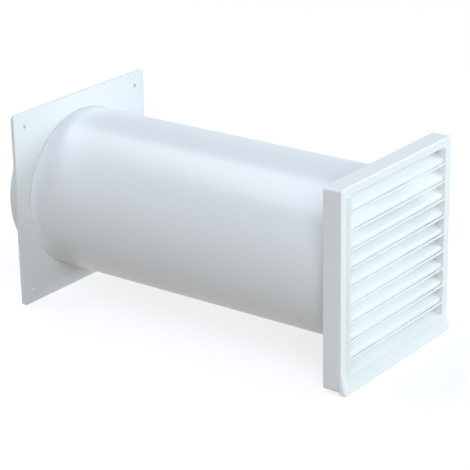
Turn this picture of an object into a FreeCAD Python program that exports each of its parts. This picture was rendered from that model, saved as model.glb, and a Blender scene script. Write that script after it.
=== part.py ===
"""Wall vent sleeve: a wall plate with round spigots, a pipe through the wall and a louvre grille.

Millimetres. +X runs along the pipe from the wall plate to the grille, and +Z is up.
The origin is on the pipe's axis, in the face of the wall plate that lies against the wall.
"""
import FreeCAD, Part
import math
import os

# Round spigots and the pipe
spigot_diameter = 149.6
spigot_wall = 2.2
spigot_lead_in = 1.0
pipe_clearance = 0.3
pipe_wall = 2.2

# Distance between the two faces of the wall that the sleeve passes through
wall_depth = 336.0

# Wall plate
plate_size = 188.0
plate_thickness = 3.5
plate_corner_radius = 4.0
plate_edge_round = 0.6
duct_spigot_length = 26.0
plate_collar_length = 22.0
pipe_seat_depth = 1.0
screw_spacing = 160.0
screw_hole_diameter = 4.2

# Grille: outer skirt and front frame
grille_width = 175.0
grille_height = 182.0
grille_depth = 18.0
grille_wall = 2.4
grille_corner_radius = 3.0
grille_edge_round = 1.0
frame_band = 8.2
field_step = 2.2
groove_width = 0.6
groove_depth = 0.6
pipe_entry = 2.2
grille_spigot_length = 25.0
spigot_root = 1.5

# Grille: louvre window in the raised field
jamb_width = 4.0
top_rail_height = 2.0
sill_height = 13.7
louvre_count = 10
top_louvre_drop = 9.1
blade_angle = 30.0
blade_thickness = 1.8
blade_recess = 2.35
blade_lip = 4.0
bar_drop = 2.5
bar_height = 1.8
bar_depth = 1.2

# Grille: drip nose along the bottom edge
nose_drop = 2.7
nose_reach = 2.0
nose_flare_height = 12.0
nose_shoulder = 4.0
nose_lip = 1.2
nose_corner_radius = 2.0
nose_end_round = 2.0

# Radii and stations worked out from the sizes above
spigot_radius = spigot_diameter / 2
bore_radius = spigot_radius - spigot_wall
pipe_bore_radius = spigot_radius + pipe_clearance
pipe_radius = pipe_bore_radius + pipe_wall
skirt_back = wall_depth
frame_front = skirt_back + grille_depth
field_front = frame_front + field_step
louvre_back = skirt_back + pipe_entry
frame_top = grille_height / 2
frame_bottom = -grille_height / 2
field_half_width = grille_width / 2 - frame_band
field_top = frame_top - frame_band
window_half_width = field_half_width - jamb_width
window_top = field_top - top_rail_height
window_bottom = frame_bottom + sill_height
nose_root = frame_bottom + nose_flare_height - nose_shoulder
louvre_pitch = (window_top - top_louvre_drop - window_bottom) / (louvre_count - 1)
blade_rise = math.tan(math.radians(blade_angle))
blade_upright = blade_thickness / math.cos(math.radians(blade_angle))

AXIS = FreeCAD.Vector(1, 0, 0)
ORIGIN = FreeCAD.Vector(0, 0, 0)


def outline(station, half_width, low, high, low_radius, high_radius):
    """An upright rectangle with rounded corners, square to the pipe's axis."""

    def corner(side, level, radius):
        """The arc's three points, from the upright side to the level one."""
        across = math.copysign(radius, side)
        up = math.copysign(radius, level - (low + high) / 2)
        centre_y = side - across
        centre_z = level - up
        slant = math.sqrt(0.5)
        return [
            FreeCAD.Vector(station, side, centre_z),
            FreeCAD.Vector(station, centre_y + across * slant, centre_z + up * slant),
            FreeCAD.Vector(station, centre_y, level),
        ]

    top_right = corner(half_width, high, high_radius)
    top_left = corner(-half_width, high, high_radius)[::-1]
    bottom_left = corner(-half_width, low, low_radius)
    bottom_right = corner(half_width, low, low_radius)[::-1]
    arcs = [top_right, top_left, bottom_left, bottom_right]
    edges = []
    for arc, following in zip(arcs, arcs[1:] + arcs[:1]):
        edges.append(Part.Arc(*arc).toShape())
        edges.append(Part.LineSegment(arc[2], following[0]).toShape())
    return Part.Wire(edges)


def rounded_block(start, end, half_width, low, high, low_radius, high_radius):
    """A block along X whose section is an upright rectangle with rounded corners."""
    section = outline(start, half_width, low, high, low_radius, high_radius)
    return Part.Face(section).extrude(AXIS * (end - start))


def ring(profile):
    """A turned ring about the pipe's axis from (station, radius) points."""
    points = [FreeCAD.Vector(station, radius, 0) for station, radius in profile]
    face = Part.Face(Part.makePolygon(points + points[:1]))
    return face.revolve(ORIGIN, AXIS, 360)


def tube(start, end, inner_radius, outer_radius, lead_in):
    """A round spigot from start to end, with a lead-in chamfer outside its end."""
    back = math.copysign(lead_in, start - end)
    return ring([
        (start, inner_radius),
        (end, inner_radius),
        (end, outer_radius - lead_in),
        (end + back, outer_radius),
        (start, outer_radius),
    ])


def strip(profile, half_width):
    """A straight moulding across the grille from (station, height) points."""
    points = [FreeCAD.Vector(station, -half_width, height) for station, height in profile]
    face = Part.Face(Part.makePolygon(points + points[:1]))
    return face.extrude(FreeCAD.Vector(0, 2 * half_width, 0))


def face_edges(block, station):
    """The edges of a block's flat end at one station."""
    return [
        edge for edge in block.Edges
        if abs(edge.BoundBox.XMin - station) < 1e-6 and abs(edge.BoundBox.XMax - station) < 1e-6
    ]


def wall_plate():
    """Square plate with a duct spigot on the room side and a collar for the pipe on the wall side.

    A shallow seat round the collar takes the end of the pipe, so that the plate lies flat on the wall.
    """
    back = -plate_thickness
    half = plate_size / 2
    plate = rounded_block(back, 0, half, -half, half, plate_corner_radius, plate_corner_radius)
    plate = plate.makeFillet(plate_edge_round, face_edges(plate, back))
    duct_spigot = tube(0, back - duct_spigot_length, bore_radius, spigot_radius, spigot_lead_in)
    collar = tube(back, plate_collar_length, bore_radius, spigot_radius, spigot_lead_in)
    bore = Part.makeCylinder(bore_radius, plate_thickness, FreeCAD.Vector(back, 0, 0), AXIS)
    seat_floor = FreeCAD.Vector(-pipe_seat_depth, 0, 0)
    seat = Part.makeCylinder(pipe_radius + pipe_clearance, pipe_seat_depth, seat_floor, AXIS)
    plate = plate.cut([bore, seat]).fuse([duct_spigot, collar])
    reach = screw_spacing / 2
    for y in (-reach, reach):
        for z in (-reach, reach):
            foot = FreeCAD.Vector(back, y, z)
            plate = plate.cut(Part.makeCylinder(screw_hole_diameter / 2, plate_thickness, foot, AXIS))
    return plate.removeSplitter()


def pipe():
    """Plain pipe pushed over both spigots, square cut at both ends."""
    return ring([
        (-pipe_seat_depth, pipe_bore_radius),
        (louvre_back, pipe_bore_radius),
        (louvre_back, pipe_radius),
        (-pipe_seat_depth, pipe_radius),
    ])


def grille_frame():
    """Skirt that is open at the back, with a flat front band and a raised field with bevelled sides."""
    half = grille_width / 2
    radius = grille_corner_radius
    skirt = rounded_block(skirt_back, frame_front, half, frame_bottom, frame_top, radius, radius)
    skirt = skirt.makeFillet(grille_edge_round, face_edges(skirt, frame_front))
    inside = rounded_block(
        skirt_back, frame_front - grille_wall, half - grille_wall,
        frame_bottom + grille_wall, frame_top - grille_wall,
        radius / 2, radius / 2,
    )
    foot = outline(frame_front, field_half_width, nose_root, field_top, radius / 2, radius / 2)
    brow = outline(field_front, window_half_width, nose_root, window_top, radius / 2, radius / 2)
    field = Part.makeLoft([foot, brow], True, True)
    return skirt.cut(inside).fuse(field)


def field_grooves():
    """Shallow grooves in the band at the foot of the field, above the window and beside it."""
    floor = frame_front - groove_depth
    end = frame_bottom + nose_flare_height
    head = Part.makeBox(
        2 * groove_depth, 2 * window_half_width, groove_width,
        FreeCAD.Vector(floor, -window_half_width, field_top),
    )
    sides = [
        Part.makeBox(2 * groove_depth, groove_width, window_top - end, FreeCAD.Vector(floor, edge, end))
        for edge in (-field_half_width - groove_width, field_half_width)
    ]
    return [head, *sides]


def drip_nose():
    """Bottom edge that flares forwards and down so that rain drips clear of the wall."""
    shoulder = frame_bottom + nose_flare_height
    lowest = frame_bottom - nose_drop
    tip = field_front + nose_reach
    root = FreeCAD.Vector(field_front, 0, nose_root)
    end = FreeCAD.Vector(tip, 0, lowest + nose_lip)
    middle = FreeCAD.Vector((2 * field_front + tip) / 3, 0, (root.z + end.z) / 2)
    start = FreeCAD.Vector(frame_front, 0, shoulder)
    heel = FreeCAD.Vector(frame_front - grille_wall, 0, frame_bottom)
    toe = FreeCAD.Vector(tip - nose_lip, 0, lowest)
    inner = FreeCAD.Vector(frame_front - grille_wall, 0, shoulder)
    edges = [
        Part.LineSegment(start, root).toShape(),
        Part.Arc(root, middle, end).toShape(),
        Part.LineSegment(end, toe).toShape(),
        Part.LineSegment(toe, heel).toShape(),
        Part.LineSegment(heel, inner).toShape(),
        Part.LineSegment(inner, start).toShape(),
    ]
    half = grille_width / 2
    flare = Part.Face(Part.Wire(edges)).extrude(FreeCAD.Vector(0, grille_width, 0))
    flare.translate(FreeCAD.Vector(0, -half, 0))
    ends = rounded_block(
        frame_front - grille_wall, tip, half, lowest, frame_top,
        nose_corner_radius, grille_corner_radius,
    )
    uprights = [edge for edge in face_edges(ends, tip) if edge.BoundBox.ZLength > grille_height / 2]
    return flare.common(ends.makeFillet(nose_end_round, uprights))


def blade(front_level, tip_depth):
    """One louvre blade that falls towards the front and ends in an upright drip lip.

    Its face would meet the front of the raised field at front_level.
    """
    tip = field_front - tip_depth
    tip_level = front_level + tip_depth * blade_rise
    back_level = front_level + (field_front - louvre_back) * blade_rise
    lip_back = tip - blade_thickness
    lip_root = tip_level + blade_thickness * blade_rise - blade_upright
    return strip([
        (tip, tip_level),
        (louvre_back, back_level),
        (louvre_back, back_level - blade_upright),
        (lip_back, lip_root),
        (lip_back, tip_level - blade_lip),
        (tip, tip_level - blade_lip),
    ], window_half_width + grille_wall / 2)


def front_bar(front_level):
    """Guard bar across the window, a little below the tip of its blade."""
    top = front_level - bar_drop
    bottom = top - bar_height
    back = field_front - bar_depth
    return strip([
        (back, top),
        (field_front, top),
        (field_front, bottom),
        (back, bottom),
    ], window_half_width + jamb_width / 2)


def louvre_box():
    """Side and top walls that stand behind the window and carry the blades."""
    half = window_half_width + grille_wall
    top = window_top + grille_wall
    return Part.makeBox(
        frame_front - louvre_back, 2 * half, top - window_bottom,
        FreeCAD.Vector(louvre_back, -half, window_bottom),
    )


def window():
    """The louvre window, cut through the frame and the field."""
    return Part.makeBox(
        field_front - louvre_back, 2 * window_half_width, window_top - window_bottom,
        FreeCAD.Vector(louvre_back, -window_half_width, window_bottom),
    )


def louvre_grille():
    """One moulding: skirt, raised field, drip nose, louvres, guard bars and the spigot for the pipe."""
    box = louvre_box()
    shell = grille_frame().fuse([drip_nose(), box]).cut([window(), *field_grooves()])
    levels = [window_bottom + index * louvre_pitch for index in range(louvre_count)]
    sill = blade(levels[0], 0)
    blades = [blade(level, blade_recess).common(box) for level in levels[1:]]
    bars = [front_bar(level) for level in levels[1:]]
    spigot = tube(
        louvre_back + spigot_root, louvre_back - grille_spigot_length,
        bore_radius, spigot_radius, spigot_lead_in,
    )
    return shell.fuse([sill, *blades, *bars, spigot]).removeSplitter()


def main():
    """Builds each piece and writes it to a file of its own."""
    os.makedirs("parts", exist_ok=True)
    pieces = {"wall_plate": wall_plate(), "pipe": pipe(), "louvre_grille": louvre_grille()}
    for name, shape in pieces.items():
        shape.exportStep("parts/" + name + ".step")
        print(name, "valid", shape.isValid(), "solids", len(shape.Solids), "volume", round(shape.Volume))


main()
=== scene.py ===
"""Wall vent sleeve in white plastic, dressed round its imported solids.

A square wall plate with a round duct spigot, a plain pipe that passes through the wall, and an outside
grille with sloping louvres, guard bars and a drip nose. Sizes are in millimetres, in the part's own
frame: +X runs along the pipe from the plate to the grille, and +Z is up. The studio is laid out in
metres in the same frame.
"""
from __future__ import annotations

import logging
import math
from dataclasses import dataclass, field
from enum import Enum
from typing import Sequence

import bmesh
import bpy
from mathutils import Matrix, Vector


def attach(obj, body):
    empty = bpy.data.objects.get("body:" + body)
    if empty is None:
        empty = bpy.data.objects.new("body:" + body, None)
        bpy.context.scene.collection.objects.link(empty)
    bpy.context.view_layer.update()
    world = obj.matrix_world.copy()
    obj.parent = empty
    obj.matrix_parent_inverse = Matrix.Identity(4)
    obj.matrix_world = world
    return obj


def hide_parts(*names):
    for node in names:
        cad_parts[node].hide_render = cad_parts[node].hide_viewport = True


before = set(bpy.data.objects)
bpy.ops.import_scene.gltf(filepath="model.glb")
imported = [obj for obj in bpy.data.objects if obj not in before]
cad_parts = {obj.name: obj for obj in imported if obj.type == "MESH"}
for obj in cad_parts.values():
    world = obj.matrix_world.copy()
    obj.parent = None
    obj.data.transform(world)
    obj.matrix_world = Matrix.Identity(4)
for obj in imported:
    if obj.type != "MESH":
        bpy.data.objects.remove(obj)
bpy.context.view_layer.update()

LOG = logging.getLogger("wall_vent_sleeve")
MM = 0.001
BODY = "root"

Pair = tuple[float, float]
Triple = tuple[float, float, float]
Ring = list[bmesh.types.BMVert]


class Node(Enum):
    """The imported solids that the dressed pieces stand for."""

    PLATE = "wall_plate"
    PIPE = "pipe"
    GRILLE = "louvre_grille"


class Slot(Enum):
    """The record's material slots."""

    PLATE = "plate_plastic"
    PIPE = "pipe_plastic"
    GRILLE = "grille_plastic"


class Side(Enum):
    """The sides of the grille's frame whose moulding has a section of its own."""

    JAMB = "jamb"
    HEAD = "head"
    FOOT = "foot"


@dataclass(frozen=True)
class Corner:
    """One corner of a section.

    Attributes:
        station: Distance along the pipe.
        reach: Radius, height, or distance in from the outline.
        soft: Length of each edge that the rounding of the corner takes up.
    """

    station: float
    reach: float
    soft: float = 0.0


def softened(corners: Sequence[Corner], steps: int, closed: bool) -> list[Pair]:
    """Rounds the corners of a section.

    Args:
        corners: The section's corners in order.
        steps: Straight runs in each rounding.
        closed: Whether the last corner runs on to the first.

    Returns:
        The section's points as (station, reach). A corner with no rounding gives one point.
    """
    points: list[Pair] = []
    count = len(corners)
    for index, corner in enumerate(corners):
        here = Vector((corner.station, corner.reach))
        at_end = not closed and index in (0, count - 1)
        if at_end or corner.soft <= 0:
            points.append((here.x, here.y))
            continue
        before = corners[index - 1]
        after = corners[(index + 1) % count]
        back = (Vector((before.station, before.reach)) - here).normalized() * corner.soft
        onward = (Vector((after.station, after.reach)) - here).normalized() * corner.soft
        for step in range(steps + 1):
            share = step / steps
            point = here + back * (1 - share) ** 2 + onward * share**2
            points.append((point.x, point.y))
    return points


def share_of(part: float, whole: float) -> float:
    """Share of a length that a part of it takes up, held between 0 and 1."""
    return min(max(part / whole, 0.0), 1.0)


def eased(share: float) -> float:
    """A share that starts and ends gently."""
    return share * share * (3 - 2 * share)


def round_ring(station: float, radius: float, segments: int, centre: Pair = (0.0, 0.0)) -> list[Triple]:
    """Points of a circle round an axis along the pipe.

    Args:
        station: Distance along the pipe.
        radius: The circle's radius.
        segments: Number of points.
        centre: Where the axis stands, as (y, z).

    Returns:
        The points in order.
    """
    turns = (2 * math.pi * index / segments for index in range(segments))
    return [
        (station, centre[0] + radius * math.cos(turn), centre[1] + radius * math.sin(turn))
        for turn in turns
    ]


def square_ring(station: float, half: float, radius: float, steps: int) -> list[Triple]:
    """Points of an upright square with rounded corners.

    Args:
        station: Distance along the pipe.
        half: Half of the square's side.
        radius: Radius of its corners.
        steps: Straight runs in each corner.

    Returns:
        The points in order.
    """
    points: list[Triple] = []
    for quarter, (side, level) in enumerate(((1, 1), (-1, 1), (-1, -1), (1, -1))):
        for step in range(steps + 1):
            turn = (quarter + step / steps) * math.pi / 2
            y = side * (half - radius) + radius * math.cos(turn)
            z = level * (half - radius) + radius * math.sin(turn)
            points.append((station, y, z))
    return points


class MeshDraft:
    """Collects the faces of one piece in millimetres and turns them into an object."""

    MERGE_DISTANCE = 1e-5

    def __init__(self) -> None:
        """Starts with no faces."""
        self.form = bmesh.new()

    def ring(self, points: Sequence[Triple]) -> Ring:
        """Adds one closed row of points."""
        return [self.form.verts.new(point) for point in points]

    def skin(self, rings: Sequence[Ring], closed: bool = False) -> None:
        """Covers the space between neighbouring rows with four-sided faces.

        Args:
            rings: Rows with the same number of points.
            closed: Whether the last row joins the first.
        """
        following = list(rings[1:]) + (list(rings[:1]) if closed else [])
        for near, far in zip(rings, following):
            for index, point in enumerate(near):
                after = (index + 1) % len(near)
                self.form.faces.new((point, near[after], far[after], far[index]))

    def cover(self, rings: Sequence[Ring]) -> None:
        """Fills a flat face.

        Args:
            rings: The face's outline, then the outline of each hole in it.
        """
        edges = []
        for ring in rings:
            for index, point in enumerate(ring):
                pair = (point, ring[(index + 1) % len(ring)])
                edges.append(self.form.edges.get(pair) or self.form.edges.new(pair))
        bmesh.ops.triangle_fill(self.form, use_beauty=True, use_dissolve=False, edges=edges)

    def object(self, name: str, material: bpy.types.Material) -> bpy.types.Object:
        """Makes the object in metres, with its faces turned outwards.

        Args:
            name: The piece's name.
            material: Its finish.

        Returns:
            The new object, with no modifier.
        """
        bmesh.ops.remove_doubles(self.form, verts=self.form.verts, dist=self.MERGE_DISTANCE)
        bmesh.ops.recalc_face_normals(self.form, faces=self.form.faces)
        bmesh.ops.scale(self.form, vec=(MM, MM, MM), verts=self.form.verts)
        mesh = bpy.data.meshes.new(name)
        self.form.to_mesh(mesh)
        self.form.free()
        mesh.materials.append(material)
        piece = bpy.data.objects.new(name, mesh)
        bpy.context.scene.collection.objects.link(piece)
        return piece


def settled(piece: bpy.types.Object) -> bpy.types.Object:
    """Turns a piece's evaluated shape into a plain mesh and drops its modifiers.

    Args:
        piece: An object with live modifiers.

    Returns:
        The same object.
    """
    graph = bpy.context.evaluated_depsgraph_get()
    mesh = bpy.data.meshes.new_from_object(
        piece.evaluated_get(graph), preserve_all_data_layers=True, depsgraph=graph
    )
    old = piece.data
    piece.modifiers.clear()
    piece.data = mesh
    bpy.data.meshes.remove(old)
    mesh.name = piece.name
    return piece


SHARP_EDGE = math.radians(38)
LARGE_FACE_WEIGHT = 100


def shaded(piece: bpy.types.Object) -> bpy.types.Object:
    """Shades a piece smoothly, keeps its sharp edges and lets the large faces stay flat.

    Args:
        piece: A piece with a plain mesh.

    Returns:
        The same object.
    """
    piece.data.shade_smooth()
    piece.data.set_sharp_from_angle(angle=SHARP_EDGE)
    weighted = piece.modifiers.new("flat_faces", "WEIGHTED_NORMAL")
    weighted.mode = "FACE_AREA"
    weighted.weight = LARGE_FACE_WEIGHT
    weighted.keep_sharp = True
    return settled(piece)


def colour_blend(
    tree: bpy.types.NodeTree, share: bpy.types.NodeSocket, first: Triple, second: Triple
) -> bpy.types.NodeSocket:
    """Adds a node that blends two colours.

    Args:
        tree: The node tree to add to.
        share: The socket that gives the share of the second colour.
        first: The first colour, linear.
        second: The second colour, linear.

    Returns:
        The socket that carries the blended colour.
    """
    blend = tree.nodes.new("ShaderNodeMix")
    blend.data_type = "RGBA"
    sockets = {socket.identifier: socket for socket in (*blend.inputs, *blend.outputs)}
    sockets["A_Color"].default_value = (*first, 1)
    sockets["B_Color"].default_value = (*second, 1)
    tree.links.new(share, sockets["Factor_Float"])
    return sockets["Result_Color"]


@dataclass(frozen=True)
class WhitePlastic:
    """White plastic with slight clouding, uneven gloss and a fine grain.

    Attributes:
        name: The material's name.
        colour: Its colour, linear.
        cloud_scale: Clouds in a metre along each axis.
        gloss: Lowest and highest roughness.
        grain_scale: Grains in a metre along each axis.
        grain_height: Height of the grain, in millimetres.
        coat: Weight of the smooth skin on the plastic.
        glow: Share of the light that passes a little way under the surface.
        glow_depth: How far it passes, in millimetres.
        clouding: Share by which the colour falls in the darker clouds.
        refraction: The plastic's index of refraction.
        cloud_detail: Octaves in the clouds.
        grain_detail: Octaves in the grain.
        grain_span: Values of the grain that have the lowest and the highest roughness.
    """

    name: str
    colour: Triple
    cloud_scale: Triple
    gloss: Pair
    grain_scale: Triple
    grain_height: float
    coat: float
    glow: float
    glow_depth: float
    clouding: float = 0.02
    refraction: float = 1.5
    cloud_detail: float = 3.0
    grain_detail: float = 4.0
    grain_span: Pair = (0.3, 0.7)

    def material(self) -> bpy.types.Material:
        """Builds the material's nodes.

        Returns:
            The new material.
        """
        material = bpy.data.materials.new(self.name)
        material.use_nodes = True
        tree = material.node_tree
        shader = tree.nodes["Principled BSDF"]
        shader.inputs["IOR"].default_value = self.refraction
        shader.inputs["Coat Weight"].default_value = self.coat
        shader.inputs["Coat Roughness"].default_value = self.gloss[0] / 2
        shader.inputs["Subsurface Weight"].default_value = self.glow
        shader.inputs["Subsurface Radius"].default_value = (1.0, 1.0, 1.0)
        shader.inputs["Subsurface Scale"].default_value = self.glow_depth * MM
        place = tree.nodes.new("ShaderNodeTexCoord")
        clouds = self._noise(tree, place, self.cloud_scale, self.cloud_detail)
        shadier = tuple(part * (1 - self.clouding) for part in self.colour)
        colour = colour_blend(tree, clouds, shadier, self.colour)
        tree.links.new(colour, shader.inputs["Base Color"])
        grain = self._noise(tree, place, self.grain_scale, self.grain_detail)
        gloss = tree.nodes.new("ShaderNodeMapRange")
        gloss.inputs["From Min"].default_value = self.grain_span[0]
        gloss.inputs["From Max"].default_value = self.grain_span[1]
        gloss.inputs["To Min"].default_value = self.gloss[0]
        gloss.inputs["To Max"].default_value = self.gloss[1]
        tree.links.new(grain, gloss.inputs["Value"])
        tree.links.new(gloss.outputs["Result"], shader.inputs["Roughness"])
        bump = tree.nodes.new("ShaderNodeBump")
        bump.inputs["Distance"].default_value = self.grain_height * MM
        bump.inputs["Strength"].default_value = 1.0
        tree.links.new(grain, bump.inputs["Height"])
        tree.links.new(bump.outputs["Normal"], shader.inputs["Normal"])
        return material

    @staticmethod
    def _noise(
        tree: bpy.types.NodeTree, place: bpy.types.Node, scale: Triple, detail: float
    ) -> bpy.types.NodeSocket:
        """Adds a noise that follows the piece.

        Args:
            tree: The material's node tree.
            place: The node that gives the piece's own coordinates.
            scale: Features in a metre along each axis.
            detail: Octaves of the noise.

        Returns:
            The socket that carries the noise.
        """
        mapping = tree.nodes.new("ShaderNodeMapping")
        mapping.inputs["Scale"].default_value = scale
        tree.links.new(place.outputs["Object"], mapping.inputs["Vector"])
        noise = tree.nodes.new("ShaderNodeTexNoise")
        noise.inputs["Scale"].default_value = 1.0
        noise.inputs["Detail"].default_value = detail
        tree.links.new(mapping.outputs["Vector"], noise.inputs["Vector"])
        return noise.outputs["Fac"]


PLATE_FINISH = WhitePlastic(
    name="plate_white_moulded",
    colour=(0.852, 0.874, 0.888),
    cloud_scale=(22, 22, 22),
    gloss=(0.30, 0.36),
    grain_scale=(900, 900, 900),
    grain_height=0.006,
    coat=0.1,
    glow=0.1,
    glow_depth=1.5,
)
PIPE_FINISH = WhitePlastic(
    name="pipe_white_extruded",
    colour=(0.87, 0.895, 0.915),
    cloud_scale=(6, 30, 30),
    gloss=(0.28, 0.32),
    grain_scale=(12, 500, 500),
    grain_height=0.001,
    coat=0.1,
    glow=0.1,
    glow_depth=2.0,
)
FRAME_FINISH = WhitePlastic(
    name="grille_white_moulded",
    colour=(0.885, 0.908, 0.922),
    cloud_scale=(24, 24, 24),
    gloss=(0.30, 0.36),
    grain_scale=(900, 900, 900),
    grain_height=0.006,
    coat=0.1,
    glow=0.3,
    glow_depth=1.5,
)
# The louvres and bars are the same plastic as the frame, painted lighter to stand in for light in their
# shaded slots.
LOUVRE_LIGHTENED_FINISH = WhitePlastic(
    name="louvre_white_painted_lighter",
    colour=(0.92, 0.94, 0.95),
    cloud_scale=(24, 24, 24),
    gloss=(0.34, 0.40),
    grain_scale=(900, 900, 900),
    grain_height=0.004,
    coat=0.0,
    glow=0.1,
    glow_depth=1.0,
)


class ShapeTree:
    """A Geometry Nodes tree with named inputs, built in the script."""

    def __init__(self, name: str) -> None:
        """Makes an empty tree.

        Args:
            name: The tree's name.
        """
        self.tree = bpy.data.node_groups.new(name, "GeometryNodeTree")
        self.keys: dict[str, str] = {}
        self._socket("Geometry", "NodeSocketGeometry", "INPUT")
        self._socket("Geometry", "NodeSocketGeometry", "OUTPUT")
        self.entry = self.tree.nodes.new("NodeGroupInput")
        self.exit = self.tree.nodes.new("NodeGroupOutput")

    def _socket(self, name: str, kind: str, way: str) -> str:
        """Adds a socket to the tree's face and returns its identifier."""
        return self.tree.interface.new_socket(name=name, in_out=way, socket_type=kind).identifier

    def size(self, name: str, kind: str = "NodeSocketFloat") -> bpy.types.NodeSocket:
        """Adds a named input.

        Args:
            name: What the input sets.
            kind: Its socket type.

        Returns:
            The socket inside the tree that carries its value.
        """
        self.keys[name] = self._socket(name, kind, "INPUT")
        return self.entry.outputs[name]

    def node(self, kind: str, **links: object) -> bpy.types.Node:
        """Adds a node and feeds its inputs.

        Args:
            kind: The node's type.
            **links: Input name, with _ for a space, and the socket or value that feeds it.

        Returns:
            The new node.
        """
        node = self.tree.nodes.new(kind)
        for name, source in links.items():
            socket = node.inputs[name.replace("_", " ")]
            if isinstance(source, bpy.types.NodeSocket):
                self.tree.links.new(source, socket)
            else:
                socket.default_value = source
        return node

    def finish(self, shape: bpy.types.NodeSocket) -> None:
        """Ends the tree with a realised shape in the finish that the modifier names.

        Args:
            shape: The socket that carries the shape.
        """
        whole = self.node("GeometryNodeRealizeInstances", Geometry=shape)
        dressed = self.node(
            "GeometryNodeSetMaterial",
            Geometry=whole.outputs["Geometry"],
            Material=self.size("Finish", "NodeSocketMaterial"),
        )
        self.tree.links.new(dressed.outputs["Geometry"], self.exit.inputs["Geometry"])

    def shape(self, piece: bpy.types.Object, sizes: dict[str, object]) -> bpy.types.Object:
        """Runs the tree on a piece and keeps the result as a plain mesh.

        Args:
            piece: The object to shape.
            sizes: A value for each named input.

        Returns:
            The same object.
        """
        modifier = piece.modifiers.new(self.tree.name, "NODES")
        modifier.node_group = self.tree
        for name, value in sizes.items():
            modifier[self.keys[name]] = value
        return settled(piece)


def row_tree() -> ShapeTree:
    """Makes the tree that repeats one moulding at even steps up the window.

    Returns:
        The tree, with inputs Count, First level, Pitch and Finish.
    """
    tree = ShapeTree("row_up_the_window")
    start = tree.node("ShaderNodeCombineXYZ", Z=tree.size("First level"))
    step = tree.node("ShaderNodeCombineXYZ", Z=tree.size("Pitch"))
    places = tree.node(
        "GeometryNodeMeshLine",
        Count=tree.size("Count", "NodeSocketInt"),
        Start_Location=start.outputs["Vector"],
        Offset=step.outputs["Vector"],
    )
    copies = tree.node(
        "GeometryNodeInstanceOnPoints",
        Points=places.outputs["Mesh"],
        Instance=tree.entry.outputs["Geometry"],
    )
    tree.finish(copies.outputs["Instances"])
    return tree


def tube_tree(end_steps: int) -> ShapeTree:
    """Makes the tree that sweeps a wall with softened ends round an axis along the pipe.

    Args:
        end_steps: Straight runs in the rounding of the wall's edges.

    Returns:
        The tree, with inputs Middle radius, Wall, Length, Centre, Soft end, Segments and Finish.
    """
    tree = ShapeTree("tube_round_the_axis")
    path = tree.node(
        "GeometryNodeCurvePrimitiveCircle",
        Resolution=tree.size("Segments", "NodeSocketInt"),
        Radius=tree.size("Middle radius"),
    )
    section = tree.node(
        "GeometryNodeCurvePrimitiveQuadrilateral",
        Width=tree.size("Wall"),
        Height=tree.size("Length"),
    )
    soft = tree.node(
        "GeometryNodeFilletCurve",
        Curve=section.outputs["Curve"],
        Radius=tree.size("Soft end"),
    )
    soft.mode = "POLY"
    soft.inputs["Count"].default_value = end_steps
    swept = tree.node(
        "GeometryNodeCurveToMesh",
        Curve=path.outputs["Curve"],
        Profile_Curve=soft.outputs["Curve"],
    )
    centre = tree.node("ShaderNodeCombineXYZ", X=tree.size("Centre"))
    laid = tree.node(
        "GeometryNodeTransform",
        Geometry=swept.outputs["Mesh"],
        Translation=centre.outputs["Vector"],
        Rotation=(0, math.pi / 2, 0),
    )
    tree.finish(laid.outputs["Geometry"])
    return tree


def mount(piece: bpy.types.Object, node: Node) -> None:
    """Fixes a finished piece to the part and reports it.

    Args:
        piece: The finished piece, in place.
        node: The solid that it stands for.
    """
    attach(piece, BODY)
    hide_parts(node.value)
    spans = [round(length / MM, 1) for length in piece.dimensions]
    LOG.info("%s: %d faces, %s mm", piece.name, len(piece.data.polygons), spans)


@dataclass(frozen=True)
class SpigotWall:
    """Wall of a round spigot with an open end that is bevelled to go into a duct.

    Attributes:
        radius: Its outer radius.
        bore_radius: Its inner radius.
        lead_in: Length and depth of the bevel.
        bevel_round: Rounding where the bevel begins.
        rim_round: Rounding where it meets the end face.
        bore_round: Rounding between the end face and the bore.
        segments: Straight runs round the wall.
    """

    radius: float = 74.8
    bore_radius: float = 72.6
    lead_in: float = 1.0
    bevel_round: float = 0.4
    rim_round: float = 0.3
    bore_round: float = 0.4
    segments: int = 192

    def end(self, station: float, root_way: int) -> list[Corner]:
        """Corners of the open end.

        Args:
            station: Place of the end face along the pipe.
            root_way: 1 where the spigot's root lies towards the grille, or -1.

        Returns:
            The corners from the bore to the outside.
        """
        return [
            Corner(station, self.bore_radius, self.bore_round),
            Corner(station, self.radius - self.lead_in, self.rim_round),
            Corner(station + root_way * self.lead_in, self.radius, self.bevel_round),
        ]

    def rings(self, draft: MeshDraft, section: Sequence[Pair]) -> list[Ring]:
        """Rows of a section turned round the pipe's axis."""
        return [draft.ring(round_ring(x, radius, self.segments)) for x, radius in section]


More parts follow.
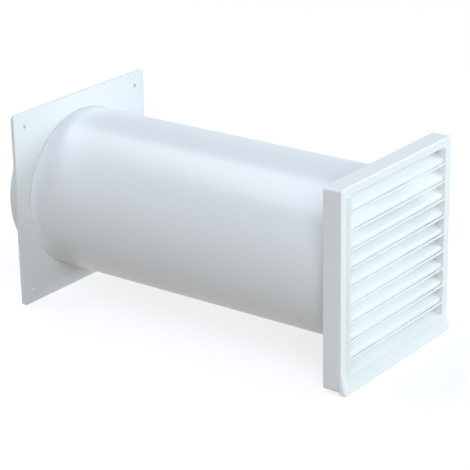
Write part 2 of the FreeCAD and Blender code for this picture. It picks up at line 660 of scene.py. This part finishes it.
@dataclass
class WallPlate:
    """Square plate with a duct spigot on the room side and a collar for the pipe on the wall side.

    Attributes:
        size: Length of the plate's sides.
        thickness: Its thickness.
        corner_radius: Radius of its corners.
        room_edge: Rounding of its edge on the room side.
        wall_edge: Rounding of its edge on the wall side.
        spigot: Wall of the duct spigot and of the collar.
        spigot_length: Length of the duct spigot.
        spigot_root: Rounding where the spigot meets the plate.
        collar_length: Length of the collar inside the pipe.
        seat_radius: Radius of the seat that takes the pipe's end.
        seat_depth: Its depth.
        seat_edge: Rounding of its edge.
        seat_root: Rounding of its inner corners.
        screw_reach: Distance of the screw holes from the middle, along both sides.
        hole_radius: Radius of the screw holes.
        hole_edge: Rounding of their edges.
        seat_margin: Flat ring kept round the seat.
        spigot_margin: Flat ring kept round the spigot.
        hole_margin: Flat ring kept round each hole.
        hole_segments: Straight runs round each hole.
        corner_steps: Straight runs in each corner.
        edge_steps: Straight runs in the rounding of the plate's edges.
        round_steps: Straight runs in the other roundings.
    """

    size: float = 188.0
    thickness: float = 3.5
    corner_radius: float = 4.0
    room_edge: float = 0.8
    wall_edge: float = 0.5
    spigot: SpigotWall = SpigotWall()
    spigot_length: float = 26.0
    spigot_root: float = 0.8
    collar_length: float = 22.0
    seat_radius: float = 77.6
    seat_depth: float = 1.0
    seat_edge: float = 0.15
    seat_root: float = 0.2
    screw_reach: float = 80.0
    hole_radius: float = 2.1
    hole_edge: float = 0.25
    seat_margin: float = 0.3
    spigot_margin: float = 1.2
    hole_margin: float = 0.1
    hole_segments: int = 28
    corner_steps: int = 8
    edge_steps: int = 4
    round_steps: int = 3

    def build(self, finish: WhitePlastic) -> bpy.types.Object:
        """Makes the plate, its holes and the turned spigots as one closed skin.

        Args:
            finish: The plate's plastic.

        Returns:
            The whole moulding.
        """
        draft = MeshDraft()
        wall_face: list[Ring] = []
        room_face: list[Ring] = []
        for rings in (self._rim(draft), self._spigots(draft), *self._holes(draft)):
            draft.skin(rings)
            wall_face.append(rings[0])
            room_face.append(rings[-1])
        draft.cover(wall_face)
        draft.cover(room_face)
        return draft.object("wall_plate_moulding", finish.material())

    def dress(self, piece: bpy.types.Object) -> None:
        """Shades the plate and mounts it."""
        mount(shaded(piece), Node.PLATE)

    def _rim(self, draft: MeshDraft) -> list[Ring]:
        """Adds the plate's outer edge.

        Args:
            draft: The draft to add to.

        Returns:
            The edge's rows, from the wall face to the room face.
        """
        back = -self.thickness
        section = softened(
            [
                Corner(0, -self.wall_edge),
                Corner(0, 0, self.wall_edge),
                Corner(back, 0, self.room_edge),
                Corner(back, -self.room_edge),
            ],
            self.edge_steps,
            closed=False,
        )
        half = self.size / 2
        return [
            draft.ring(square_ring(x, half + out, self.corner_radius + out, self.corner_steps))
            for x, out in section[1:-1]
        ]

    def _spigots(self, draft: MeshDraft) -> list[Ring]:
        """Adds the pipe's seat, the collar, the bore and the duct spigot.

        Args:
            draft: The draft to add to.

        Returns:
            Their rows, from the wall face to the room face.
        """
        back = -self.thickness
        radius = self.spigot.radius
        section = softened(
            [
                Corner(0, self.seat_radius + self.seat_margin),
                Corner(0, self.seat_radius, self.seat_edge),
                Corner(-self.seat_depth, self.seat_radius, self.seat_root),
                Corner(-self.seat_depth, radius, self.seat_root),
                *reversed(self.spigot.end(self.collar_length, -1)),
                *self.spigot.end(back - self.spigot_length, 1),
                Corner(back, radius, self.spigot_root),
                Corner(back, radius + self.spigot_margin),
            ],
            self.round_steps,
            closed=False,
        )
        return self.spigot.rings(draft, section)

    def _holes(self, draft: MeshDraft) -> list[list[Ring]]:
        """Adds the screw holes.

        Args:
            draft: The draft to add to.

        Returns:
            The rows of each hole, from the wall face to the room face.
        """
        back = -self.thickness
        margin = self.hole_radius + self.hole_edge + self.hole_margin
        section = softened(
            [
                Corner(0, margin),
                Corner(0, self.hole_radius, self.hole_edge),
                Corner(back, self.hole_radius, self.hole_edge),
                Corner(back, margin),
            ],
            self.round_steps,
            closed=False,
        )
        return [
            [draft.ring(round_ring(x, radius, self.hole_segments, (y, z))) for x, radius in section]
            for y in (-self.screw_reach, self.screw_reach)
            for z in (-self.screw_reach, self.screw_reach)
        ]


@dataclass
class SleevePipe:
    """Plain extruded pipe, square cut at both ends.

    Attributes:
        start: Station of its end in the plate's seat.
        end: Station of its end behind the grille.
        outer_radius: Its outer radius.
        bore_radius: Its inner radius.
        soft_end: Rounding of its edges.
        segments: Straight runs round the pipe.
        end_steps: Straight runs in the rounding of its edges.
    """

    start: float = -1.0
    end: float = 338.2
    outer_radius: float = 77.3
    bore_radius: float = 75.1
    soft_end: float = 0.3
    segments: int = 256
    end_steps: int = 4

    def build(self, finish: WhitePlastic) -> bpy.types.Object:
        """Sweeps the pipe's wall round its axis.

        Args:
            finish: The pipe's plastic.

        Returns:
            The pipe as a plain mesh.
        """
        material = finish.material()
        piece = bpy.data.objects.new("sleeve_pipe", bpy.data.meshes.new("sleeve_pipe"))
        piece.data.materials.append(material)
        bpy.context.scene.collection.objects.link(piece)
        sizes: dict[str, object] = {
            "Middle radius": (self.outer_radius + self.bore_radius) / 2 * MM,
            "Wall": (self.outer_radius - self.bore_radius) * MM,
            "Length": (self.end - self.start) * MM,
            "Centre": (self.start + self.end) / 2 * MM,
            "Soft end": self.soft_end * MM,
            "Segments": self.segments,
            "Finish": material,
        }
        return tube_tree(self.end_steps).shape(piece, sizes)

    def dress(self, piece: bpy.types.Object) -> None:
        """Shades the pipe and mounts it."""
        mount(shaded(piece), Node.PIPE)


@dataclass(frozen=True)
class Station:
    """One corner line of the frame's moulding, followed round its four sides.

    Attributes:
        jamb: The corner on both upright sides, with its distance in from the outline.
        head: The same corner at the top.
        foot: The same corner at the bottom.
        top_radius: Radius of the line where it turns at the top.
        low_radius: Radius of the line where it turns at the bottom.
    """

    jamb: Corner
    head: Corner
    foot: Corner
    top_radius: float
    low_radius: float

    @classmethod
    def all_round(cls, station: float, inset: float, soft: float, radius: float) -> "Station":
        """A corner line that is the same on all four sides.

        Args:
            station: Its place along the pipe's axis.
            inset: Its distance in from the outline.
            soft: Rounding of the corner in the section.
            radius: Radius of the line's turns.

        Returns:
            The line.
        """
        corner = Corner(station, inset, soft)
        return cls(corner, corner, corner, radius, radius)

    def corner(self, side: Side) -> Corner:
        """The corner on one side of the frame."""
        return {Side.JAMB: self.jamb, Side.HEAD: self.head, Side.FOOT: self.foot}[side]


@dataclass(frozen=True)
class FrameRounding:
    """How far the corners of the frame's section are rounded.

    Attributes:
        rim: Back rim of the skirt.
        flare: Where the skirt's foot begins to lean out to the drip nose.
        front: Front edge of the skirt.
        nose: Tip of the drip nose.
        strip_foot: Outer foot of the strips beside the window.
        strip_crest: Shoulder of those strips.
        strip_end: Where the strips' lines cross the band above the window.
        jamb: Front edge of the window at its sides.
        head: The same at the top.
        sill: The same at the bottom.
        carrier: Back edges of the walls that carry the louvres.
        carrier_root: Where those walls meet the front plate.
        skirt_root: Where the skirt meets the front plate inside.
    """

    rim: float = 0.4
    flare: float = 0.5
    front: float = 0.9
    nose: float = 1.4
    strip_foot: float = 0.15
    strip_crest: float = 0.3
    strip_end: float = 0.125
    jamb: float = 0.5
    head: float = 0.3
    sill: float = 0.25
    carrier: float = 0.2
    carrier_root: float = 0.4
    skirt_root: float = 0.6


@dataclass(frozen=True)
class FrameTurns:
    """Radii with which the frame's lines turn at its four corners.

    Attributes:
        skirt: Outside of the skirt.
        inside: Inside of the skirt.
        front: Front edge of the skirt, at the top.
        nose: Tip of the drip nose.
        band: Flat band, at the top.
        panel: Panel over the nose, at the bottom.
        strip: Strips beside the window, at the top.
        strip_low: The same strips at the bottom.
        window: Edge of the window.
        carrier: Outside of the walls that carry the louvres.
    """

    skirt: float = 3.0
    inside: float = 1.5
    front: float = 2.6
    nose: float = 1.8
    band: float = 1.8
    panel: float = 1.5
    strip: float = 1.5
    strip_low: float = 1.2
    window: float = 0.5
    carrier: float = 0.8


@dataclass(frozen=True)
class LouvreRounding:
    """How far the edges of the louvres and the guard bars are rounded.

    Attributes:
        tip: Front of a louvre, where its slope meets the lip.
        back: Back edges of a louvre.
        lip_root: Inner corner behind the lip.
        lip: Lower edges of the lip.
        bar_back: Back edges of a guard bar.
        bar_top: Its upper front edge.
        bar_low: Its lower front edge.
    """

    tip: float = 0.5
    back: float = 0.2
    lip_root: float = 0.5
    lip: float = 0.35
    bar_back: float = 0.2
    bar_top: float = 0.25
    bar_low: float = 0.3


@dataclass
class LouvreGrille:
    """Outside grille: skirt, flat band, louvre window with guard bars, drip nose and spigot.

    Attributes:
        half_width: Half of the outline's width.
        half_height: Half of its height.
        skirt_back: Station of the skirt's back rim.
        frame_front: Station of the flat band.
        field_front: Station of the window's sides and of the panel below it.
        louvre_back: Station of the louvres' back edges.
        wall: Thickness of the skirt, the front plate and the walls that carry the louvres.
        band: Width of the flat band.
        strip_overlap: How far the strips beside the window reach over the band.
        shoulder_rise: Rise of the strips' steeper outer side.
        shoulder_run: Its width.
        jamb: Distance from the band to the window's sides.
        head: How far the window's top falls from its front edge to the louvres' back.
        sill: Height of the window's lower edge over the outline's bottom.
        louvre_count: Number of louvres, with the sill as the lowest.
        top_louvre_drop: Drop from the window's top to the level of the highest louvre.
        blade_angle: Slope of the louvres, in degrees.
        blade_thickness: Their thickness.
        blade_recess: How far they lie behind the field.
        blade_lip: Height of their upright front lips.
        bar_drop: Drop from a louvre's level to the top of its guard bar.
        bar_height: Height of the guard bars.
        bar_depth: How far the bars' back lies behind the field.
        bar_recess: How far their front lies behind it.
        nose_tip: Station of the drip nose's tip.
        nose_drop: How far the tip hangs below the outline.
        nose_root: Height over the outline's bottom where the panel begins to sweep forwards.
        nose_lip: Height of the blunt edge at the tip.
        nose_sweep: Power of the sweep's curve.
        nose_end_round: Length over which the nose's ends are rounded.
        ramp_top: Height over the outline's bottom where the sides begin to run into the nose.
        ramp_low: Height where they have become part of it.
        spigot: Wall of the round spigot.
        spigot_end: Station of its open end.
        spigot_root: Station of its root in the louvres.
        spigot_root_edge: Rounding of its edges there.
        rounding: Roundings of the frame's section.
        turns: Radii of the frame's lines at its corners.
        louvre_rounding: Roundings of the louvres and the guard bars.
        corner_steps: Straight runs in each turn of the frame's lines.
        round_steps: Straight runs in each rounding.
        band_shares: Lines across the band, as shares of its width.
        side_levels: Heights of points on the sides above the lower turn, over the run into the nose.
    """

    half_width: float = 87.5
    half_height: float = 91.0
    skirt_back: float = 336.0
    frame_front: float = 354.0
    field_front: float = 356.2
    louvre_back: float = 338.2
    wall: float = 2.4
    band: float = 8.2
    strip_overlap: float = 0.5
    shoulder_rise: float = 1.05
    shoulder_run: float = 1.5
    jamb: float = 4.0
    head: float = 2.0
    sill: float = 13.7
    louvre_count: int = 10
    top_louvre_drop: float = 9.1
    blade_angle: float = 30.0
    blade_thickness: float = 1.8
    blade_recess: float = 2.35
    blade_lip: float = 4.0
    bar_drop: float = 2.5
    bar_height: float = 1.8
    bar_depth: float = 1.2
    bar_recess: float = 0.08
    nose_tip: float = 358.2
    nose_drop: float = 2.7
    nose_root: float = 10.5
    nose_lip: float = 1.2
    nose_sweep: float = 1.6
    nose_end_round: float = 2.4
    ramp_top: float = 20.0
    ramp_low: float = 1.0
    spigot: SpigotWall = SpigotWall()
    spigot_end: float = 313.2
    spigot_root: float = 339.7
    spigot_root_edge: float = 0.2
    rounding: FrameRounding = FrameRounding()
    turns: FrameTurns = FrameTurns()
    louvre_rounding: LouvreRounding = LouvreRounding()
    corner_steps: int = 8
    round_steps: int = 3
    band_shares: tuple[float, ...] = (0.15, 0.35, 0.55, 0.75)
    side_levels: tuple[float, ...] = (0.0, 1.2, 2.4, 3.6, 5.0, 6.5, 8.0, 10.0, 12.0, 14.5, 17.0, 20.0, 23.0)

    window_half: float = field(init=False)
    window_top: float = field(init=False)
    window_bottom: float = field(init=False)
    pitch: float = field(init=False)
    rise: float = field(init=False)
    upright: float = field(init=False)

    def __post_init__(self) -> None:
        """Works out the window and the louvres from the sizes."""
        self.window_half = self.half_width - self.band - self.jamb
        self.window_top = self.half_height - self.band - self.head
        self.window_bottom = self.sill - self.half_height
        span = self.window_top - self.top_louvre_drop - self.window_bottom
        self.pitch = span / (self.louvre_count - 1)
        self.rise = math.tan(math.radians(self.blade_angle))
        self.upright = self.blade_thickness / math.cos(math.radians(self.blade_angle))

    def build(self, finish: WhitePlastic, lightened_finish: WhitePlastic) -> list[bpy.types.Object]:
        """Makes the grille's pieces.

        Args:
            finish: The plastic of the frame and the spigot.
            lightened_finish: The same plastic, painted lighter for the louvres and bars to stand in for
                light in their shaded slots.

        Returns:
            The frame, the louvres, the guard bars and the spigot.
        """
        material = finish.material()
        # The louvres and bars take the lighter copy: painted light that lifts the shade in their slots.
        lightened_material = lightened_finish.material()
        rows = row_tree()
        copies: dict[str, object] = {
            "Count": self.louvre_count - 1,
            "First level": (self.window_bottom + self.pitch) * MM,
            "Pitch": self.pitch * MM,
            "Finish": lightened_material,
        }
        return [
            self._frame().object("grille_frame", material),
            rows.shape(self._blade().object("grille_louvres", lightened_material), copies),
            rows.shape(self._bar().object("grille_guard_bars", lightened_material), copies),
            self._spigot().object("grille_spigot", material),
        ]

    def dress(self, pieces: Sequence[bpy.types.Object]) -> None:
        """Shades the grille's pieces and mounts them."""
        for piece in pieces:
            mount(shaded(piece), Node.GRILLE)

    def nose_front(self, level: float) -> float:
        """Station of the panel below the window, which sweeps forwards to the drip nose's tip.

        Args:
            level: Height of the point.

        Returns:
            The station, that of the field above the sweep's root.
        """
        root = self.nose_root - self.half_height
        tip = self.nose_lip - self.nose_drop - self.half_height
        share = share_of(root - level, root - tip)
        return self.field_front + (self.nose_tip - self.field_front) * share**self.nose_sweep

    def _stations(self) -> list[Station]:
        """Lists the corner lines of the frame's moulding.

        Returns:
            The lines in order, from the back rim over the front to the window and back inside.
        """
        plate = self.frame_front - self.wall
        soft, turn = self.rounding, self.turns
        return [
            Station.all_round(self.skirt_back, self.wall, soft.rim, turn.inside),
            Station.all_round(self.skirt_back, 0.0, soft.rim, turn.skirt),
            Station.all_round(plate, 0.0, soft.flare, turn.skirt),
            *self._band_lines(),
            *self._strip_lines(),
            *self._window_lines(),
            Station.all_round(plate, self.wall, soft.skirt_root, turn.inside),
        ]

    def _band_lines(self) -> list[Station]:
        """Lists the lines of the frame's front edge, its flat band and the drip nose below.

        Returns:
            The lines in order from the outside.
        """
        soft, turn = self.rounding, self.turns
        edge = Corner(self.frame_front, 0.0, soft.front)
        tip = Corner(self.nose_tip, -self.nose_drop, soft.nose)
        lines = [Station(edge, edge, tip, turn.front, turn.nose)]
        for share in self.band_shares:
            flat = Corner(self.frame_front, self.band * share)
            low = (self.band + self.nose_drop) * share - self.nose_drop
            nose = Corner(self.nose_front(low - self.half_height), low)
            lines.append(Station(flat, flat, nose, turn.band, turn.panel))
        return lines

    def _strip_lines(self) -> list[Station]:
        """Lists the lines of the raised strips beside the window.

        The strips end at the band above the window and in the panel below it.

        Returns:
            The line of their outer foot and the line of their shoulder.
        """
        soft, turn = self.rounding, self.turns
        foot = self.band - self.strip_overlap
        crest = foot + self.shoulder_run
        lines = []
        for rise, inset, top_inset, edge in (
            (0.0, foot, foot - self.shoulder_run / 2, soft.strip_foot),
            (self.shoulder_rise, crest, foot, soft.strip_crest),
        ):
            jamb = Corner(self.frame_front + rise, inset, edge)
            flat = Corner(self.frame_front, top_inset, soft.strip_end)
            panel = Corner(self.nose_front(inset - self.half_height), inset, edge)
            lines.append(Station(jamb, flat, panel, turn.strip, turn.strip_low))
        return lines

    def _window_lines(self) -> list[Station]:
        """Lists the lines of the window's edge and of the walls behind it that carry the louvres.

        Returns:
            The lines in order from the window's front edge to the front plate behind it.
        """
        soft, turn = self.rounding, self.turns
        front, back, plate = self.field_front, self.louvre_back, self.frame_front - self.wall
        jamb, head = self.band + self.jamb, self.band + self.head
        sill_back = self.sill + (front - back) * self.rise
        sill_under = self.sill + (front - plate) * self.rise - self.upright
        return [
            Station(
                Corner(front, jamb, soft.jamb),
                Corner(self.frame_front, self.band, soft.head),
                Corner(front, self.sill, soft.sill),
                turn.window,
                turn.window,
            ),
            Station(
                Corner(back, jamb, soft.carrier),
                Corner(back, head, soft.carrier),
                Corner(back, sill_back, soft.carrier),
                turn.window,
                turn.window,
            ),
            Station(
                Corner(back, jamb - self.wall, soft.carrier),
                Corner(back, head - self.wall, soft.carrier),
                Corner(back, sill_back - self.upright, soft.carrier),
                turn.carrier,
                turn.carrier,
            ),
            Station(
                Corner(plate, jamb - self.wall, soft.carrier_root),
                Corner(plate, self.band - self.wall / 2, soft.carrier_root),
                Corner(plate, sill_under, soft.carrier_root),
                turn.carrier,
                turn.carrier,
            ),
        ]

    def _frame(self) -> MeshDraft:
        """Skins the frame's moulding round its four sides.

        Returns:
            The draft of the frame.
        """
        stations = self._stations()
        sections = {
            side: softened([line.corner(side) for line in stations], self.round_steps, closed=True)
            for side in Side
        }
        radii: list[Pair] = []
        for line in stations:
            rows = self.round_steps + 1 if line.jamb.soft > 0 else 1
            radii += [(line.top_radius, line.low_radius)] * rows
        draft = MeshDraft()
        rings = [
            draft.ring(self._outline(jamb, head, foot, radius))
            for jamb, head, foot, radius in zip(
                sections[Side.JAMB], sections[Side.HEAD], sections[Side.FOOT], radii
            )
        ]
        draft.skin(rings, closed=True)
        return draft

    def _outline(self, jamb: Pair, head: Pair, foot: Pair, radii: Pair) -> list[Triple]:
        """One line of the moulding followed round the frame.

        Args:
            jamb: Station and distance in from the outline on the upright sides.
            head: The same at the top.
            foot: The same at the bottom.
            radii: Radius of the line's turns at the top and at the bottom.

        Returns:
            The line's points in order.
        """
        half = self.half_width - jamb[1]
        top = self.half_height - head[1]
        low = foot[1] - self.half_height
        top_radius, low_radius = radii
        levels = [low + low_radius + up for up in self.side_levels]
        right = [(self._jamb_station(jamb, level), half, level) for level in levels]
        for step in range(self.corner_steps + 1):
            share = step / self.corner_steps
            turn = share * math.pi / 2
            y = half - top_radius * (1 - math.cos(turn))
            z = top - top_radius * (1 - math.sin(turn))
            right.append((jamb[0] + (head[0] - jamb[0]) * share, y, z))
        below = []
        for step in range(1, self.corner_steps + 1):
            share = step / self.corner_steps
            turn = share * math.pi / 2
            y = half - low_radius * (1 - math.cos(turn))
            z = low + low_radius * (1 - math.sin(turn))
            side = self._jamb_station(jamb, z)
            below.append((side + (foot[0] - side) * share, y, z))
        right = below[::-1] + right
        left = [(x, -y, z) for x, y, z in reversed(right)]
        return right + left

    def _jamb_station(self, point: Pair, level: float) -> float:
        """Station of a point on an upright side, carried forwards where the side runs into the nose.

        Args:
            point: The point's station in the section and its distance in from the outline.
            level: Its height.

        Returns:
            The station at that height.
        """
        station, inset = point
        if station < self.frame_front - self.wall / 2:
            return station
        fall = self.ramp_top - self.half_height - level
        run = share_of(fall, self.ramp_top - self.ramp_low)
        from_end = share_of(inset, self.nose_end_round)
        share = eased(run) * (1 - (1 - from_end) ** 2)
        return station + (self.nose_front(level) - max(station, self.frame_front)) * share

    def _bar_across(self, corners: Sequence[Corner], half: float) -> MeshDraft:
        """A straight moulding across the window.

        Args:
            corners: Its section, as station and height.
            half: Half of its length.

        Returns:
            The draft of one closed bar.
        """
        draft = MeshDraft()
        section = softened(corners, self.round_steps, closed=True)
        ends = [draft.ring([(x, y, z) for x, z in section]) for y in (-half, half)]
        draft.skin(ends)
        for end in ends:
            draft.form.faces.new(end)
        return draft

    def _blade(self) -> MeshDraft:
        """Makes one louvre blade that falls towards the front and ends in an upright drip lip.

        Returns:
            The draft of the blade, which reaches half-way into the walls that carry it.
        """
        soft = self.louvre_rounding
        tip = self.field_front - self.blade_recess
        tip_level = self.blade_recess * self.rise
        back_level = (self.field_front - self.louvre_back) * self.rise
        lip_back = tip - self.blade_thickness
        lip_root = tip_level + self.blade_thickness * self.rise - self.upright
        corners = [
            Corner(tip, tip_level, soft.tip),
            Corner(self.louvre_back, back_level, soft.back),
            Corner(self.louvre_back, back_level - self.upright, soft.back),
            Corner(lip_back, lip_root, soft.lip_root),
            Corner(lip_back, tip_level - self.blade_lip, soft.lip),
            Corner(tip, tip_level - self.blade_lip, soft.lip),
        ]
        return self._bar_across(corners, self.window_half + self.wall / 2)

    def _bar(self) -> MeshDraft:
        """Makes one guard bar across the window, a little below the tip of its blade.

        Returns:
            The draft of the bar, which reaches a quarter of the way into the strips beside the window.
        """
        soft = self.louvre_rounding
        front = self.field_front - self.bar_recess
        back = self.field_front - self.bar_depth
        bottom = -self.bar_drop - self.bar_height
        corners = [
            Corner(back, -self.bar_drop, soft.bar_back),
            Corner(front, -self.bar_drop, soft.bar_top),
            Corner(front, bottom, soft.bar_low),
            Corner(back, bottom, soft.bar_back),
        ]
        return self._bar_across(corners, self.window_half + self.jamb / 4)

    def _spigot(self) -> MeshDraft:
        """Makes the round spigot behind the louvres that goes into the pipe.

        Returns:
            The draft of the spigot.
        """
        section = softened(
            [
                Corner(self.spigot_root, self.spigot.bore_radius, self.spigot_root_edge),
                *self.spigot.end(self.spigot_end, 1),
                Corner(self.spigot_root, self.spigot.radius, self.spigot_root_edge),
            ],
            self.round_steps,
            closed=True,
        )
        draft = MeshDraft()
        draft.skin(self.spigot.rings(draft, section), closed=True)
        return draft


PART_MIDDLE: Triple = (0.17, 0.0, 0.0)
WHITE = (1.0, 1.0, 1.0, 1.0)


@dataclass(frozen=True)
class Softbox:
    """A soft rectangular lamp that faces the middle of the part.

    Attributes:
        name: The lamp's name.
        place: Where it stands, in metres.
        size: Its width and height in metres.
        power: Its power in watts.
        colour: Its colour.
    """

    name: str
    place: Triple
    size: Pair
    power: float
    colour: Triple

    def switch_on(self) -> None:
        """Puts the lamp in the scene."""
        lamp = bpy.data.lights.new(self.name, "AREA")
        lamp.shape = "RECTANGLE"
        lamp.size, lamp.size_y = self.size
        lamp.energy = self.power
        lamp.color = self.colour
        stand = bpy.data.objects.new(self.name, lamp)
        stand.visible_camera = False
        stand.location = self.place
        aim = Vector(PART_MIDDLE) - Vector(self.place)
        stand.rotation_euler = aim.to_track_quat("-Z", "Y").to_euler()
        bpy.context.scene.collection.objects.link(stand)


@dataclass(frozen=True)
class Viewpoint:
    """The camera, in the part's frame.

    Attributes:
        place: Where it stands, in metres.
        azimuth: Turn round the part, in degrees.
        elevation: Height above the horizon, in degrees.
        roll: Lean of the camera, in degrees.
        lens: Focal length on the sensor's width, in millimetres.
        sensor: Width of the sensor, in millimetres.
        reach: Nearest and farthest distance that it shows, in metres.
    """

    place: Triple
    azimuth: float
    elevation: float
    roll: float
    lens: float
    sensor: float = 36.0
    reach: Pair = (0.05, 60.0)

    def set_up(self) -> None:
        """Makes the scene's camera."""
        around, up_angle, lean = (
            math.radians(angle) for angle in (self.azimuth, self.elevation, self.roll)
        )
        back = Vector(
            (
                math.sin(around) * math.cos(up_angle),
                -math.cos(around) * math.cos(up_angle),
                math.sin(up_angle),
            )
        )
        level = (-back).cross(Vector((0, 0, 1))).normalized()
        upright = level.cross(-back)
        right = level * math.cos(lean) + upright * math.sin(lean)
        up = upright * math.cos(lean) - level * math.sin(lean)
        data = bpy.data.cameras.new("camera")
        data.sensor_width = self.sensor
        data.lens = self.lens
        data.clip_start, data.clip_end = self.reach
        camera = bpy.data.objects.new("camera", data)
        turn = Matrix((right, up, back)).transposed().to_4x4()
        camera.matrix_world = Matrix.Translation(self.place) @ turn
        bpy.context.scene.collection.objects.link(camera)
        bpy.context.scene.camera = camera


@dataclass
class Studio:
    """Pale floor, white surroundings and soft lamps.

    Attributes:
        floor_level: Height of the floor, in metres.
        floor_half: Half of its side, in metres.
        floor_colour: Its colour for the light that it throws on the part.
        paper_colour: Its colour where it is seen or mirrored.
        floor_white: Share of plain white in what is seen of it.
        floor_glow: Strength of that white.
        sky_colour: Colour of the even light from all round.
        sky_level: Strength of that light.
        lamps: The soft lamps.
    """

    floor_level: float = -0.0943
    floor_half: float = 9.0
    floor_colour: Triple = (0.48, 0.45, 0.41)
    paper_colour: Triple = (0.97, 0.97, 0.97)
    floor_white: float = 0.62
    floor_glow: float = 1.2
    sky_colour: Triple = (0.96, 0.98, 1.0)
    sky_level: float = 0.02
    lamps: tuple[Softbox, ...] = (
        Softbox("key", (2.84, 2.67, 1.12), size=(2.2, 2.2), power=96.0, colour=(0.77, 0.88, 1.0)),
        Softbox("front", (3.67, 1.23, 1.47), size=(2.2, 2.2), power=27.0, colour=(0.77, 1.0, 0.83)),
        Softbox("low_fill", (2.51, -2.93, 1.40), size=(2.6, 2.6), power=50.0, colour=(1.0, 0.96, 0.60)),
        Softbox("high_fill", (2.19, -2.42, 2.63), size=(2.6, 2.6), power=70.0, colour=(0.55, 0.61, 1.0)),
        Softbox("overhead", (-1.65, -0.36, 3.43), size=(3.2, 1.4), power=65.0, colour=(0.88, 0.97, 1.0)),
        Softbox("back", (-3.7, 0.40, 0.30), size=(0.7, 0.7), power=72.0, colour=(0.80, 0.92, 1.0)),
    )

    def build(self) -> None:
        """Makes the floor, the surroundings and the lamps."""
        self._floor()
        self._surroundings()
        for lamp in self.lamps:
            lamp.switch_on()
        bpy.context.scene.view_settings.view_transform = "Standard"

    def _floor(self) -> None:
        """Lays a large flat floor."""
        form = bmesh.new()
        bmesh.ops.create_grid(form, x_segments=1, y_segments=1, size=self.floor_half)
        mesh = bpy.data.meshes.new("floor")
        form.to_mesh(mesh)
        form.free()
        mesh.transform(Matrix.Translation((0, 0, self.floor_level)))
        mesh.materials.append(self._paper())
        floor = bpy.data.objects.new("floor", mesh)
        bpy.context.scene.collection.objects.link(floor)

    def _paper(self) -> bpy.types.Material:
        """Makes the floor's paper, which looks nearly white to the camera and still takes the shadow.

        Returns:
            The new material.
        """
        material = bpy.data.materials.new("floor_paper")
        material.use_nodes = True
        tree = material.node_tree
        tree.nodes.remove(tree.nodes["Principled BSDF"])
        seen = self._seen(tree)
        paper = tree.nodes.new("ShaderNodeBsdfDiffuse")
        colour = colour_blend(tree, seen, self.floor_colour, self.paper_colour)
        tree.links.new(colour, paper.inputs["Color"])
        glow = tree.nodes.new("ShaderNodeEmission")
        glow.inputs["Color"].default_value = WHITE
        glow.inputs["Strength"].default_value = self.floor_glow
        share = tree.nodes.new("ShaderNodeMath")
        share.operation = "MULTIPLY"
        share.inputs[1].default_value = self.floor_white
        tree.links.new(seen, share.inputs[0])
        mix = tree.nodes.new("ShaderNodeMixShader")
        tree.links.new(share.outputs["Value"], mix.inputs["Fac"])
        tree.links.new(paper.outputs["BSDF"], mix.inputs[1])
        tree.links.new(glow.outputs["Emission"], mix.inputs[2])
        tree.links.new(mix.outputs["Shader"], tree.nodes["Material Output"].inputs["Surface"])
        return material

    def _surroundings(self) -> None:
        """Gives an even soft light from all round, white where it is seen or mirrored."""
        world = bpy.data.worlds.new("surroundings")
        world.use_nodes = True
        tree = world.node_tree
        light = tree.nodes["Background"]
        light.inputs["Color"].default_value = (*self.sky_colour, 1)
        light.inputs["Strength"].default_value = self.sky_level
        white = tree.nodes.new("ShaderNodeBackground")
        white.inputs["Color"].default_value = WHITE
        mix = tree.nodes.new("ShaderNodeMixShader")
        tree.links.new(self._seen(tree), mix.inputs["Fac"])
        tree.links.new(light.outputs["Background"], mix.inputs[1])
        tree.links.new(white.outputs["Background"], mix.inputs[2])
        tree.links.new(mix.outputs["Shader"], tree.nodes["World Output"].inputs["Surface"])
        bpy.context.scene.world = world

    @staticmethod
    def _seen(tree: bpy.types.NodeTree) -> bpy.types.NodeSocket:
        """A value of 1 for rays that show the background to the eye.

        Args:
            tree: The node tree to add to.

        Returns:
            The socket that carries the value.
        """
        path = tree.nodes.new("ShaderNodeLightPath")
        seen = path.outputs["Is Camera Ray"]
        for ray in ("Is Glossy Ray", "Is Transmission Ray"):
            either = tree.nodes.new("ShaderNodeMath")
            either.operation = "MAXIMUM"
            tree.links.new(seen, either.inputs[0])
            tree.links.new(path.outputs[ray], either.inputs[1])
            seen = either.outputs["Value"]
        return seen


def main() -> None:
    """Builds the pieces in order, then the studio and the camera."""
    logging.basicConfig(level=logging.INFO, format="%(name)s: %(message)s")
    LOG.info("frame holds %s", sorted(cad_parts))
    plate = WallPlate()
    plate.dress(plate.build(PLATE_FINISH))
    pipe = SleevePipe()
    pipe.dress(pipe.build(PIPE_FINISH))
    grille = LouvreGrille()
    grille.dress(grille.build(FRAME_FINISH, LOUVRE_LIGHTENED_FINISH))
    Studio().build()
    Viewpoint(
        place=(1.13775, -1.27468, 0.60288),
        azimuth=36.9177,
        elevation=21.1133,
        roll=-1.0506,
        lens=143.06,
    ).set_up()


if __name__ == "__main__":
    main()
